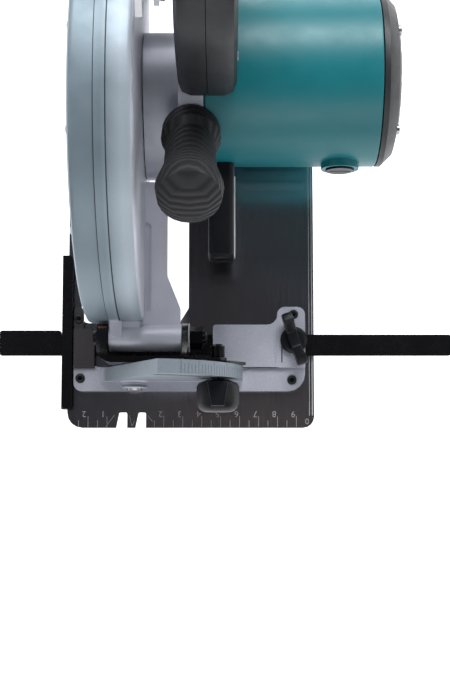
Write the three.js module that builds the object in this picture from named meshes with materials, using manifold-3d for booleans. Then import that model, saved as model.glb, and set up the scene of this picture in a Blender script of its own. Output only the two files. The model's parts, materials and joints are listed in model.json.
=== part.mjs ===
// Hand-held circular saw for plunging and bevel cuts, at full cutting depth, with its rip guide fitted.
// Millimetres. x = 0 is the blade plane and +X the motor side; y = 0 is the depth pivot and -Y the front;
// z = 0 is the underside of the sole.
import * as THREE from "three";
import { mergeVertices } from "three/addons/utils/BufferGeometryUtils.js";
import Module from "manifold-3d";

const wasm = await Module();
wasm.setup();

// ---- driving dimensions ----
const PLATE = { left: -31, right: 99.4, front: -44.6, rear: 245, top: 2.4 };
const WINDOW = { left: -24, right: 33, front: 11, rear: 216 };
const BEVEL = { x: 5, z: 12 }; // bevel axis, along Y
const QUADRANT = { outer: 57.5, rim: 52.5, slotIn: 44, slotOut: 51, from: 11, to: 75 };
const CLAMP = { x: 48.7, z: 30.2 }; // bevel clamp, in the quadrant slot
const PIVOT = { y: 0, z: 32 }; // depth axis, along X
const ARBOR = { y: 109, z: 30 }; // blade axis, along X
const MOTOR = { y: 129, z: 48.14 }; // armature axis, along X, 27 from the arbor
const MOTOR_RADIUS = 43;
const BLADE_RADIUS = 95;
const CASE = { left: -18.3, right: 11.5, radius: 101, bore: 98.4 };
const GEAR = { teeth: 36, pinion: 9, module: 1.2 };
const ARC = { inner: 178, outer: 192, stud: 185, left: 14.7, right: 17.7, rest: 6 };
const BAR = { left: -67, right: 172, front: -6.6, rear: 4.6, bottom: 2.7, top: 5.2 };
const GUIDE_SCREW = { x: 88.4, y: 1.2 };
const HANDLE = { left: 30, right: 58, split: 44 };
const SCREWS = [
  [-24, -18.6, 6],
  [87.5, -19.5, 6],
  [-25, 12.9, 6],
  [88.4, 15, 8.4],
];

// ---- looks ----
const CAST = { color: 0x9aa0a8, roughness: 0.45, metalness: 0.9 };
const GUARD_PAINT = { color: 0x8c99a4, roughness: 0.4, metalness: 0.6 };
const STEEL = { color: 0x8f9297, roughness: 0.3, metalness: 1 };
const DARK_STEEL = { color: 0x45474c, roughness: 0.25, metalness: 1 };
const BLACK_PAINT = { color: 0x17181b, roughness: 0.35, metalness: 0.2 };
const BLACK_PLASTIC = { color: 0x1d1e22, roughness: 0.55, metalness: 0 };
const TEAL_PLASTIC = { color: 0x0f6b6f, roughness: 0.45, metalness: 0 };
const RUBBER = { color: 0x151517, roughness: 0.85, metalness: 0 };
const COPPER = { color: 0xb0653a, roughness: 0.4, metalness: 1 };
const CLEAR = { color: 0xe8eef2, roughness: 0.1, metalness: 0 };
const CARBON = { color: 0x2a2a2c, roughness: 0.7, metalness: 0.3 };

// ---- geometry helpers ----
const axisVector = (x, y, z) => new THREE.Vector3(x, y, z);
const EXTRUDE_TURN = {
  x: new THREE.Matrix4().makeBasis(axisVector(0, 1, 0), axisVector(0, 0, 1), axisVector(1, 0, 0)),
  y: new THREE.Matrix4().makeBasis(axisVector(1, 0, 0), axisVector(0, 0, 1), axisVector(0, -1, 0)),
  z: new THREE.Matrix4(),
};
const LATHE_TURN = {
  x: new THREE.Matrix4().makeBasis(axisVector(0, 0, 1), axisVector(1, 0, 0), axisVector(0, 1, 0)),
  y: new THREE.Matrix4(),
  z: new THREE.Matrix4().makeBasis(axisVector(1, 0, 0), axisVector(0, 0, 1), axisVector(0, -1, 0)),
};
const radians = THREE.MathUtils.degToRad;

// A closed three.js geometry as a solid that can be cut and joined.
function solid(geometry) {
  const plain = geometry.clone();
  plain.deleteAttribute("normal");
  plain.deleteAttribute("uv");
  const merged = mergeVertices(plain, 1e-4);
  return new wasm.Manifold(
    new wasm.Mesh({
      numProp: 3,
      vertProperties: new Float32Array(merged.attributes.position.array),
      triVerts: new Uint32Array(merged.index.array),
    }),
  );
}

// Outline points (y, z), (x, z) or (x, y) pushed along x, y or z; `soft` rounds both end edges.
function prism(axis, points, from, to, soft = 0) {
  const shape = new THREE.Shape(points.map(([a, b]) => new THREE.Vector2(a, b)));
  const geometry = new THREE.ExtrudeGeometry(shape, {
    depth: to - from - 2 * soft,
    bevelEnabled: soft > 0,
    bevelThickness: soft,
    bevelSize: soft,
    bevelOffset: -soft,
    bevelSegments: 2,
  });
  geometry.applyMatrix4(EXTRUDE_TURN[axis]);
  if (axis === "x") geometry.translate(from + soft, 0, 0);
  if (axis === "y") geometry.translate(0, to - soft, 0);
  if (axis === "z") geometry.translate(0, 0, from + soft);
  return solid(geometry);
}

// Points of a circular arc, angles in degrees.
function arc(a, b, radius, from, to, steps) {
  return Array.from({ length: steps + 1 }, (_, i) => {
    const angle = radians(from + ((to - from) * i) / steps);
    return [a + radius * Math.cos(angle), b + radius * Math.sin(angle)];
  });
}

const circle = (a, b, radius, steps = 24) => arc(a, b, radius, 0, 360, steps).slice(0, -1);

const cylinder = (axis, a, b, radius, from, to, steps = 24, soft = 0) =>
  prism(axis, circle(a, b, radius, steps), from, to, soft);

function tube(axis, a, b, outer, inner, from, to, steps = 24) {
  return cylinder(axis, a, b, outer, from, to, steps).subtract(
    cylinder(axis, a, b, inner, from - 1, to + 1, steps),
  );
}

// Polygon with each corner rounded: [a, b] takes `radius`, [a, b, own] its own.
function rounded(corners, radius = 0, steps = 4) {
  const points = [];
  corners.forEach(([a, b, own], i) => {
    const size = own ?? radius;
    if (!size) {
      points.push([a, b]);
      return;
    }
    const corner = new THREE.Vector2(a, b);
    const towards = (other) => new THREE.Vector2(other[0] - a, other[1] - b).normalize();
    const back = towards(corners.at(i - 1));
    const ahead = towards(corners[(i + 1) % corners.length]);
    const half = Math.acos(back.dot(ahead)) / 2;
    const centre = back.clone().add(ahead).normalize().multiplyScalar(size / Math.sin(half));
    centre.add(corner);
    const start = corner.clone().addScaledVector(back, size / Math.tan(half)).sub(centre);
    const end = corner.clone().addScaledVector(ahead, size / Math.tan(half)).sub(centre);
    let sweep = end.angle() - start.angle();
    if (sweep > Math.PI) sweep -= 2 * Math.PI;
    if (sweep < -Math.PI) sweep += 2 * Math.PI;
    for (let k = 0; k <= steps; k += 1) {
      const angle = start.angle() + (sweep * k) / steps;
      points.push([centre.x + size * Math.cos(angle), centre.y + size * Math.sin(angle)]);
    }
  });
  return points;
}

const rectangle = (a0, a1, b0, b1, radius = 0, steps = 3) =>
  rounded([[a0, b0], [a1, b0], [a1, b1], [a0, b1]], radius, steps);

const box = (x0, x1, y0, y1, z0, z1) => prism("z", rectangle(x0, x1, y0, y1), z0, z1);

// Annular sector outline.
const sector = (a, b, inner, outer, from, to, steps) => [
  ...arc(a, b, outer, from, to, steps),
  ...arc(a, b, inner, to, from, steps),
];

// Annular slot with round ends.
const slot = (a, b, middle, half, from, to, steps) => {
  const end = (angle, start) => {
    const [ca, cb] = arc(a, b, middle, angle, angle, 1)[0];
    return arc(ca, cb, half, start, start + 180, 5).slice(1, -1);
  };
  return [
    ...arc(a, b, middle + half, from, to, steps),
    ...end(to, to),
    ...arc(a, b, middle - half, to, from, steps),
    ...end(from, from + 180),
  ];
};

// Profile [along, radius] spun round an axis through (a, b).
function lathe(axis, a, b, profile, steps = 24) {
  const points = profile.map(([along, radius]) => new THREE.Vector2(radius, along));
  const geometry = new THREE.LatheGeometry(points, steps);
  geometry.applyMatrix4(LATHE_TURN[axis]);
  if (axis === "x") geometry.translate(0, a, b);
  if (axis === "y") geometry.translate(a, 0, b);
  if (axis === "z") geometry.translate(a, b, 0);
  const body = solid(geometry);
  return body.volume() > 0 ? body : solid(flipped(geometry));
}

function flipped(geometry) {
  const turned = geometry.clone();
  const index = turned.index.array;
  for (let i = 0; i < index.length; i += 3) {
    [index[i], index[i + 1]] = [index[i + 1], index[i]];
  }
  return turned;
}

// Outline moved inwards by `depth` along its corner normals (counter-clockwise points).
function inset(points, depth) {
  return points.map(([a, b], i) => {
    const [pa, pb] = points.at(i - 1);
    const [na, nb] = points[(i + 1) % points.length];
    const along = new THREE.Vector2(na - pa, nb - pb).normalize();
    return [a - along.y * depth, b + along.x * depth];
  });
}

const join = (parts) => parts.reduce((whole, part) => whole.add(part));
const cut = (body, parts) => parts.reduce((left, part) => left.subtract(part), body);

const group = new THREE.Group();
group.name = "circular_saw";

function add(name, body, look) {
  const mesh = body.getMesh();
  const geometry = new THREE.BufferGeometry();
  geometry.setAttribute("position", new THREE.BufferAttribute(new Float32Array(mesh.vertProperties), 3));
  geometry.setIndex(new THREE.BufferAttribute(new Uint32Array(mesh.triVerts), 1));
  geometry.computeVertexNormals();
  const part = new THREE.Mesh(geometry, new THREE.MeshStandardMaterial(look));
  part.name = name;
  group.add(part);
}

// ---- base: sole plate, front casting, rear bracket ----
const screwHoles = (radius, from, to) =>
  SCREWS.map(([x, y]) => cylinder("z", x, y, radius, from, to, 12));

const windowOutline = rounded(
  [
    [WINDOW.left, WINDOW.front, 4],
    [WINDOW.right - 5, WINDOW.front, 2],
    [WINDOW.right, WINDOW.front + 8, 3],
    [WINDOW.right, WINDOW.rear, 4],
    [WINDOW.left, WINDOW.rear, 4],
  ],
  0,
  3,
);
const sightNotches = [
  [[-5.4, -46], [0.7, -46], [0.7, -36.5, 0.9], [-3.5, -36.5, 0.9]],
  [[4.7, -46], [10.6, -46], [10.6, -36.5, 0.9], [6.7, -36.5, 0.9]],
].map((corners) => rounded(corners));
add(
  "base_plate",
  cut(
    prism(
      "z",
      rounded([
        [PLATE.left, PLATE.front, 8],
        [PLATE.right, PLATE.front, 6],
        [PLATE.right, PLATE.rear, 12],
        [PLATE.left, PLATE.rear, 12],
      ]),
      0,
      PLATE.top,
    ),
    [
      prism("z", windowOutline, -1, PLATE.top + 1),
      ...sightNotches.map((notch) => prism("z", notch, -1, PLATE.top + 1)),
      ...screwHoles(2, -1, PLATE.top + 1),
    ],
  ),
  DARK_STEEL,
);

const castFoot = PLATE.top + 0.2;
const quadrantOutline = [
  [-14, 5],
  [61.4, 5],
  ...arc(BEVEL.x, BEVEL.z, QUADRANT.outer, QUADRANT.from, QUADRANT.to, 12),
];
const quadrantFlank = [[-14, 5], [-10.6, 5], [22.6, 66.2], [19.9, 67.5]];
const barTunnel = box(-60, 120, BAR.front - 0.5, BAR.rear + 0.5, castFoot - 1, BAR.top + 0.3);
add(
  "front_bracket",
  cut(
    join([
      prism("z", rounded([[-27.5, -25.3, 4], [94.5, -25.3, 9], [94.5, -12.7], [-27.5, -12.7]]), castFoot, 6),
      prism("z", rounded([[79, -13], [94.5, -13], [94.5, 19, 4], [80, 19, 4]]), castFoot, 8.4),
      prism("z", rectangle(45.9, 82, -13, 9.6, 1.5), castFoot, 7.8),
      prism("z", [[80.5, 9], [80.5, 15.2], ...arc(74.4, 15.2, 5.6, 0, -90, 5), [74.4, 9]], castFoot, 7.8),
      prism("z", rounded([[-27.5, -13], [-16.5, -13], [-16.5, 7.5, 2], [-27.5, 7.5]]), castFoot, 7.6),
      prism("z", rounded([[-27.5, 7], [-22.5, 7], [-22.5, 19, 2], [-27.5, 19, 2]]), castFoot, 6),
      prism("y", quadrantOutline, -20.5, -16.3),
      prism(
        "y",
        sector(BEVEL.x, BEVEL.z, QUADRANT.rim, QUADRANT.outer, QUADRANT.from, QUADRANT.to, 14),
        -20.5,
        -13.5,
      ),
      prism("y", quadrantFlank, -20.5, -13.5),
      cylinder("y", BEVEL.x, BEVEL.z, 6.2, -23.5, -13.5),
    ]),
    [
      barTunnel,
      prism("y", slot(BEVEL.x, BEVEL.z, 47.5, 3.5, 21, 71, 10), -22, -15),
      cylinder("y", BEVEL.x, BEVEL.z, 3.3, -30, 0, 16),
      prism("z", rectangle(37, 60, -30, -22.6, 1), 3.8, 8),
      cylinder("z", GUIDE_SCREW.x, GUIDE_SCREW.y, 3.2, 0, 12, 12),
      ...screwHoles(2, 0, 12),
      ...SCREWS.map(([x, y, top]) => cylinder("z", x, y, 2.6, top - 1.6, 12, 12)),
    ],
  ),
  CAST,
);
SCREWS.forEach(([x, y, top], i) => {
  const shank = [[0.2, 0], [0.2, 1.6], [top - 1.3, 1.6]];
  const head = [[top - 1.3, 2.3], [top + 0.2, 2.3], [top + 0.5, 1.7], [top + 0.5, 0]];
  add(`bracket_screw_${i + 1}`, lathe("z", x, y, [...shank, ...head], 12), STEEL);
});
add(
  "front_bevel_pin",
  lathe(
    "y",
    BEVEL.x,
    BEVEL.z,
    [[-25.6, 0], [-25.6, 3.8], [-23.8, 4.6], [-23.8, 3], [-9.7, 3], [-9.7, 4.6], [-8.4, 4.2], [-8.4, 0]],
    16,
  ),
  STEEL,
);

add(
  "rear_bracket",
  cut(
    prism(
      "y",
      rounded([[-10, castFoot], [22, castFoot], [22, 12, 3], [14, 21, 5], [-4, 21, 5], [-10, 12, 3]]),
      230.3,
      232.8,
    ).add(prism("z", rectangle(-10, 22, 231, 242, 1), castFoot, 5)),
    [cylinder("y", BEVEL.x, BEVEL.z, 3.3, 220, 240, 16)],
  ),
  STEEL,
);
add(
  "rear_bevel_pin",
  lathe(
    "y",
    BEVEL.x,
    BEVEL.z,
    [[224.6, 0], [224.6, 4], [226.2, 4.6], [226.2, 3], [233.1, 3], [233.1, 4.6], [234.8, 4], [234.8, 0]],
    16,
  ),
  STEEL,
);

// ---- rip guide and its wing screw ----
add(
  "guide_bar",
  prism("z", rectangle(BAR.left, BAR.right, BAR.front, BAR.rear, 1.5), BAR.bottom, BAR.top).add(
    prism("z", rectangle(BAR.left, -34.2, BAR.front, BAR.rear + 2.2, 1.5), BAR.bottom, BAR.top),
  ),
  BLACK_PAINT,
);
add(
  "guide_fence",
  cut(
    prism("x", rounded([[-35, -14, 6], [46.5, -14, 6], [46.5, 8.2], [-35, 8.2]]), -33.6, -31.4).add(
      prism("z", rounded([[-33.6, -35], [-28.2, -35, 2], [-28.2, 46.5, 2], [-33.6, 46.5]]), 6, 8.2),
    ),
    [box(-40, -25, BAR.front - 0.3, BAR.rear + 0.3, BAR.bottom - 0.3, BAR.top + 0.3)],
  ),
  BLACK_PAINT,
);
const wing = prism(
  "y",
  rounded(
    [
      [-6, 10.5], [6, 10.5], [14, 14, 2], [14, 20, 2], [9, 22, 2],
      [4, 15, 2], [-4, 15, 2], [-9, 22, 2], [-14, 20, 2], [-14, 14, 2],
    ],
    0,
    2,
  ),
  -2.7,
  2.7,
  0.8,
).rotate([0, 0, -72]);
add(
  "guide_screw",
  lathe("z", 0, 0, [[5.5, 0], [5.5, 2.8], [8.7, 2.8], [8.7, 7.1], [11, 7.1], [12, 5.5], [12, 0]], 20)
    .add(wing)
    .translate([GUIDE_SCREW.x, GUIDE_SCREW.y, 0]),
  BLACK_PLASTIC,
);

// ---- bevel swivel: front yoke, pointer, depth pivot, rear bracket and depth arc ----
const yokePlan = rounded([[-12.5, 9], [-12.5, -13.2, 8], [33.7, -13.2, 8], [33.7, 9]]);
const yokeGap = rounded([[-6.8, 12], [-6.8, -10, 3], [30.7, -10, 3], [30.7, 12]]);
const yokeSide = [[-17, 6], [-9, 6], ...arc(PIVOT.y, PIVOT.z, 7.3, -50, 90, 8), [-9, 42], [-17, 42]];
const yokeFront = [[4.2, 7], [40, 7], [40, 45], [-14, 45], [-14, 25.2]];
add(
  "front_swivel_bracket",
  cut(
    prism("z", yokePlan, 7, 42)
      .subtract(prism("z", yokeGap, 0, 50))
      .intersect(prism("x", yokeSide, -20, 40))
      .intersect(prism("y", yokeFront, -20, 12))
      .add(cylinder("y", BEVEL.x, BEVEL.z, 5.7, -13.2, -10))
      .add(
        prism(
          "y",
          [[20, 22], ...arc(CLAMP.x, CLAMP.z, 4.6, -80, 80, 6), [20, 38]],
          -11.5,
          -10,
        ),
      ),
    [
      cylinder("x", PIVOT.y, PIVOT.z, 3.3, -20, 40, 16),
      cylinder("y", BEVEL.x, BEVEL.z, 3.3, -20, 0, 16),
      cylinder("y", CLAMP.x, CLAMP.z, 3.4, -20, 0, 16),
    ],
  ),
  BLACK_PAINT,
);
add(
  "bevel_stop_arm",
  prism(
    "y",
    rounded([[43, 25, 3], [61, 19.5, 2.4], [63.4, 25, 2.4], [54, 36, 4], [43, 36, 4]]),
    -13.2,
    -11.8,
  )
    .add(cylinder("y", CLAMP.x, CLAMP.z, 4.6, -16, -12, 16))
    .subtract(cylinder("y", CLAMP.x, CLAMP.z, 3.4, -20, 0, 16)),
  BLACK_PAINT,
);
add(
  "depth_pivot_bolt",
  lathe(
    "x",
    PIVOT.y,
    PIVOT.z,
    [[-14.6, 0], [-14.6, 3.4], [-12.8, 4.2], [-12.8, 3], [42.4, 3], [43.2, 2.3], [43.2, 0]],
    16,
  ),
  STEEL,
);
add(
  "depth_pivot_nut",
  cylinder("x", PIVOT.y, PIVOT.z, 5.77, 34.4, 41, 6).subtract(
    cylinder("x", PIVOT.y, PIVOT.z, 3.3, 30, 45, 16),
  ),
  STEEL,
);
add(
  "rear_swivel_bracket",
  cut(
    prism(
      "y",
      [...arc(BEVEL.x, BEVEL.z, 8.2, 130, 320, 10), [20.6, 18], [20.6, 37], [12, 37]],
      226.5,
      229.8,
    ).add(prism("x", rounded([[180, 20, 4], [229.8, 17], [229.8, 37], [180, 37, 4]]), 18, 20.6)),
    [cylinder("y", BEVEL.x, BEVEL.z, 3.3, 220, 240, 16)],
  ),
  BLACK_PAINT,
);
add(
  "depth_arc",
  prism("x", sector(PIVOT.y, PIVOT.z, ARC.inner, ARC.outer, -3, 47, 16), ARC.left, ARC.right).subtract(
    prism("x", slot(PIVOT.y, PIVOT.z, ARC.stud, 3.5, 5, 44.5, 14), 10, 20),
  ),
  STEEL,
);

// ---- clamps ----
add(
  "bevel_stud",
  cylinder("y", CLAMP.x, CLAMP.z, 3.1, -30, -3.4, 16, 0.6),
  STEEL,
);
const knobLobes = [90, 270].map((angle) =>
  prism("z", [[-5.4, -22.6], [5.4, -22.6], [3.3, -35], [-3.3, -35]].reverse(), 8, 12.4, 0.8)
    .rotate([0, 90 - angle, 0])
    .translate([CLAMP.x, 0, CLAMP.z]),
);
add(
  "bevel_knob",
  lathe(
    "y",
    CLAMP.x,
    CLAMP.z,
    [
      [-37.6, 0], [-37.6, 6.4], [-37, 8.4], [-35.4, 10.1], [-33, 10.9], [-30, 11], [-24.6, 10.8],
      [-22.9, 9.9], [-22.2, 8.2], [-21.2, 5.5], [-21.2, 0],
    ],
    30,
  )
    .add(join(knobLobes))
    .subtract(cylinder("y", CLAMP.x, CLAMP.z, 3.4, -30.3, -10, 16)),
  BLACK_PLASTIC,
);

const [depthY, depthZ] = arc(PIVOT.y, PIVOT.z, ARC.stud, ARC.rest, ARC.rest, 1)[0];
add("depth_stud", cylinder("x", depthY, depthZ, 3, 12.3, 25, 12, 0.4), STEEL);
add(
  "depth_lever",
  cylinder("x", depthY, depthZ, 8.5, 18, 24.5, 20)
    .add(
      prism(
        "x",
        rounded([
          [depthY - 6, depthZ - 3, 3], [depthY + 6, depthZ - 3, 3],
          [depthY + 19, depthZ + 36, 4], [depthY + 8, depthZ + 39, 4],
        ]),
        20.5,
        28,
        1.5,
      ),
    )
    .subtract(cylinder("x", depthY, depthZ, 3.3, 10, 25.3, 12)),
  BLACK_PLASTIC,
);

// ---- saw: blade case with hinge barrel and arm ----
const caseLowerEdge = [[-10, -90], [230, -90], [230, 4.5], [26, 4.5], [12.5, 24], [-10, 24]];
const ribBand = prism("x", sector(ARBOR.y, ARBOR.z, 99.6, 102, 20, 178, 40), -6, -1);
add(
  "blade_case",
  cut(
    cylinder("x", ARBOR.y, ARBOR.z, CASE.radius, CASE.left, CASE.right, 84, 3)
      .subtract(cylinder("x", ARBOR.y, ARBOR.z, CASE.bore, CASE.left + 2.5, CASE.right - 2.5, 52))
      .subtract(prism("x", caseLowerEdge, -40, 40))
      .add(ribBand)
      .add(cylinder("x", PIVOT.y, PIVOT.z, 7, -6.4, 30.3, 24))
      .add(box(-6.4, 9, 3, 11, 27, 37))
      .add(
        prism(
          "z",
          rounded([
            [5, 2], [29.6, 2], [29.6, 15, 3], [22.8, 32, 6], [22.8, 80, 3], [10, 80], [10, 60],
            [14.7, 58, 1.5], [14.7, 14, 1.5], [5, 11],
          ]),
          29,
          35,
        ),
      )
      .add(box(10.6, 15.2, 10, 60, 29, 33.4))
      .add(cylinder("x", depthY, depthZ, 7, 10, 14.4, 20)),
    [
      cylinder("x", PIVOT.y, PIVOT.z, 3.3, -20, 40, 16),
      cylinder("x", ARBOR.y, ARBOR.z, 21, 8, 13, 24),
      cylinder("x", ARBOR.y, ARBOR.z, 27, -20, -15, 24),
      cylinder("x", depthY, depthZ, 3.3, 12, 16, 12),
    ],
  ),
  GUARD_PAINT,
);

// Outline round two circles, counter-clockwise.
function belt(small, big, smallRadius, bigRadius, steps) {
  const heading = Math.atan2(big.z - small.z, big.y - small.y);
  const reach = Math.hypot(big.z - small.z, big.y - small.y);
  const lean = Math.acos((smallRadius - bigRadius) / reach);
  const degrees = THREE.MathUtils.radToDeg;
  return [
    ...arc(small.y, small.z, smallRadius, degrees(heading + lean), degrees(heading - lean) + 360, steps),
    ...arc(big.y, big.z, bigRadius, degrees(heading - lean), degrees(heading + lean), steps),
  ];
}

add(
  "gear_case",
  cut(
    join([
      prism("x", belt(ARBOR, MOTOR, 26.4, 24, 12), 12, 31),
      prism("x", belt(ARBOR, MOTOR, 26.4, MOTOR_RADIUS, 16), 30, 42),
      cylinder("x", ARBOR.y, ARBOR.z, 17, 5.9, 13, 28),
    ]),
    [
      prism("x", belt(ARBOR, MOTOR, 23.6, 19, 12), 15, 31),
      prism("x", belt(ARBOR, MOTOR, 23.6, 40, 16), 31.5, 43),
      prism("x", belt(ARBOR, MOTOR, 22, 18, 12), 30, 32),
      cylinder("x", ARBOR.y, ARBOR.z, 13.3, 8, 16),
      cylinder("x", ARBOR.y, ARBOR.z, 7.3, 0, 10),
      cylinder("y", 36.5, 34, 2.9, 76, 90, 12),
    ],
  ),
  CAST,
);
add(
  "bearing_plate",
  cut(prism("x", belt(ARBOR, MOTOR, 23.2, 39.6, 16), 32, 39.5), [
    cylinder("x", ARBOR.y, ARBOR.z, 9.3, 30, 42),
    cylinder("x", MOTOR.y, MOTOR.z, 11.3, 30, 42),
    cylinder("y", 36.5, 34, 2.9, 76, 90, 12),
  ]),
  CAST,
);

const BRUSH_X = 110;
const brushSides = [-1, 1];
const ribAngles = Array.from({ length: 7 }, (_, i) => 200 + i * 12);
add(
  "motor_housing",
  cut(
    cylinder("x", MOTOR.y, MOTOR.z, MOTOR_RADIUS, 42.4, 128, 56, 0.8)
      .subtract(cylinder("x", MOTOR.y, MOTOR.z, 40, 40, 130, 36))
      .add(
        join(
          brushSides.map((side) => {
            const ends = [MOTOR.y + side * 38, MOTOR.y + side * 45.5].sort((a, b) => a - b);
            return cylinder("y", BRUSH_X, MOTOR.z, 9.5, ...ends, 20).subtract(
              cylinder("x", MOTOR.y, MOTOR.z, 40, 90, 130, 36),
            );
          }),
        ),
      ),
    [
      ...brushSides.flatMap((side) => {
        const ends = (from, to) => [MOTOR.y + side * from, MOTOR.y + side * to].sort((a, b) => a - b);
        return [
          cylinder("y", BRUSH_X, MOTOR.z, 7.4, ...ends(43.5, 50), 16),
          cylinder("y", BRUSH_X, MOTOR.z, 5.6, ...ends(30, 50), 16),
        ];
      }),
      ...ribAngles.map((angle) =>
        box(62, 96, -0.9, 0.9, MOTOR_RADIUS - 1.2, MOTOR_RADIUS + 4)
          .rotate([angle - 90, 0, 0])
          .translate([0, MOTOR.y, MOTOR.z]),
      ),
    ],
  ),
  TEAL_PLASTIC,
);
const ventAngles = Array.from({ length: 12 }, (_, i) => i * 30 + 15);
add(
  "motor_end_cover",
  cut(
    lathe(
      "x",
      MOTOR.y,
      MOTOR.z,
      [
        [138, 0], [138, 30], [136, 38], [131, 43], [128.4, 43], [128.4, 40], [132, 36], [134.5, 30],
        [134.5, 15], [125, 15], [125, 11.3], [133, 11.3], [133, 0],
      ],
      30,
    ),
    ventAngles.map((angle) =>
      box(133, 140, -1.7, 1.7, 18, 31).rotate([angle, 0, 0]).translate([0, MOTOR.y, MOTOR.z]),
    ),
  ),
  BLACK_PLASTIC,
);
brushSides.forEach((side, i) => {
  const ends = (from, to) => [MOTOR.y + side * from, MOTOR.y + side * to].sort((a, b) => a - b);
  add(
    `brush_cap_${i + 1}`,
    cylinder("y", BRUSH_X, MOTOR.z, 7, ...ends(43.8, 46.4), 16).subtract(
      box(BRUSH_X - 5, BRUSH_X + 5, ...ends(45.4, 48), MOTOR.z - 0.7, MOTOR.z + 0.7),
    ),
    BLACK_PLASTIC,
  );
  add(
    `brush_${i + 1}`,
    box(BRUSH_X - 3, BRUSH_X + 3, ...ends(12.5, 43.3), MOTOR.z - 3.5, MOTOR.z + 3.5),
    CARBON,
  );
});
add("stator", tube("x", MOTOR.y, MOTOR.z, 39.6, 24.5, 58, 98, 36), STEEL);

// ---- bearings ----
const bearing = (centre, outer, inner, from, to) => tube("x", centre.y, centre.z, outer, inner, from, to, 24);
add("spindle_bearing_front", bearing(ARBOR, 13, 6.3, 8.3, 15.3), STEEL);
add("spindle_bearing_rear", bearing(ARBOR, 9, 5, 33, 39.3), STEEL);
add("armature_bearing_front", bearing(MOTOR, 11, 4.3, 33, 39.3), STEEL);
add("armature_bearing_rear", bearing(MOTOR, 11, 4.3, 125.6, 132.6), STEEL);

// ---- D handle with soft back, trigger, switch, lock-off and power inlet ----
const handleOutline = rounded(
  [
    [110, 70], [218, 40, 14], [231, 58, 14], [228, 98, 100], [210, 143, 80],
    [182, 172, 48], [148, 177, 40], [118, 156, 40], [110, 116, 110],
  ],
  0,
  6,
);
const fingerHole = rounded(
  [
    [127, 95, 6], [127, 122, 30], [139, 143, 25], [156, 151, 25], [174, 147, 28], [192, 128, 60],
    [206, 99, 40], [204, 70, 20], [180, 60, 6],
  ],
  0,
  5,
).reverse();
const motorClear = cylinder("x", MOTOR.y, MOTOR.z, MOTOR_RADIUS + 0.5, 20, 70, 44);
const gripClear = cylinder("x", MOTOR.y, MOTOR.z, 52, 20, 70, 44);
const handleSolid = prism("x", handleOutline, HANDLE.left, HANDLE.right, 6)
  .subtract(prism("x", fingerHole, 20, 70).subtract(gripClear))
  .subtract(motorClear);
const softWindow = prism("x", [[140, 140], [250, 90], [250, 220], [140, 220]], 20, 70);
const softBand = (depth) => softWindow.subtract(prism("x", inset(handleOutline, depth), 10, 80));
const handleBody = cut(handleSolid.subtract(softBand(3.3)), [
  prism("x", rounded([[146, 155.5, 2], [184, 154, 2], [186, 158, 2], [172, 167, 2], [150, 168, 2]]), 35, 53),
  box(38.4, 49.6, 147, 184, 130, 157),
  cylinder("x", 152, 162, 4.4, 20, 41, 16),
  cylinder("y", HANDLE.split, 58, 9.3, 212, 240, 20),
]);
const handleHalves = [
  ["handle_left", 20, HANDLE.split - 0.15],
  ["handle_right", HANDLE.split + 0.15, 70],
];
handleHalves.forEach(([name, from, to]) => {
  add(name, handleBody.intersect(box(from, to, 90, 250, 20, 200)), BLACK_PLASTIC);
});
add("grip_overmould", handleSolid.intersect(softBand(3)).intersect(box(20, 70, 142, 250, 96, 200)), RUBBER);
add(
  "trigger",
  prism(
    "x",
    rounded([[149, 149, 2], [161, 138, 4], [173, 137, 4], [182, 147, 2], [181, 153.2], [150, 156, 2]]),
    39,
    49,
    1,
  ),
  RUBBER,
);
add("switch_body", prism("x", rectangle(151, 171, 158, 165, 1), 40, 49), BLACK_PLASTIC);
add("lock_off", cylinder("x", 152, 162, 4, 27, 36, 16, 0.8), RUBBER);
add(
  "power_inlet",
  lathe(
    "y",
    HANDLE.split,
    58,
    [
      [216, 0], [216, 9], [232.4, 9], [232.4, 12], [235, 12], [235, 9], [244, 9], [244, 6.5],
      [234, 6.5], [234, 0],
    ],
    20,
  ),
  BLACK_PLASTIC,
);

// ---- front grip, radial to the motor ----
add(
  "front_grip",
  lathe(
    "z",
    0,
    0,
    [[40, 0], [40, 14], [50, 14.5], [54, 12], [74, 12.5], [88, 16], [95, 15], [99, 9], [100, 0]],
    24,
  )
    .rotate([50, 0, 0])
    .translate([36, MOTOR.y, MOTOR.z])
    .subtract(motorClear),
  BLACK_PLASTIC,
);

// ---- lamp ahead of the motor ----
add(
  "light_housing",
  prism("y", rectangle(44, 57, 27, 53, 3, 4), 39.6, 90, 1.2)
    .subtract(motorClear)
    .subtract(cylinder("y", 50.5, 40, 5.3, 30, 43, 16)),
  BLACK_PLASTIC,
);
add("light_lens", cylinder("y", 50.5, 40, 5, 40.1, 42.7, 16, 0.6), CLEAR);

// ---- lower blade guard ----
const guardCrescent = (inner, from, to) =>
  prism("x", sector(ARBOR.y, ARBOR.z, inner, 97.6, 190, 350, 24), from, to);
add(
  "lower_guard",
  join([
    guardCrescent(96, -14.5, 7.6),
    guardCrescent(62, -14.5, -13),
    guardCrescent(20, 6.1, 7.6),
    cylinder("x", ARBOR.y, ARBOR.z, 22, 6.1, 7.6, 24),
  ]).subtract(cylinder("x", ARBOR.y, ARBOR.z, 17.4, 0, 12, 28)),
  STEEL,
);
const [leverY, leverZ] = arc(ARBOR.y, ARBOR.z, 80, 210, 210, 1)[0];
add(
  "guard_lever",
  prism("x", rectangle(leverY - 9, leverY + 9, leverZ - 4, leverZ + 4, 3), -22, -14.8, 1),
  BLACK_PLASTIC,
);

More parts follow.
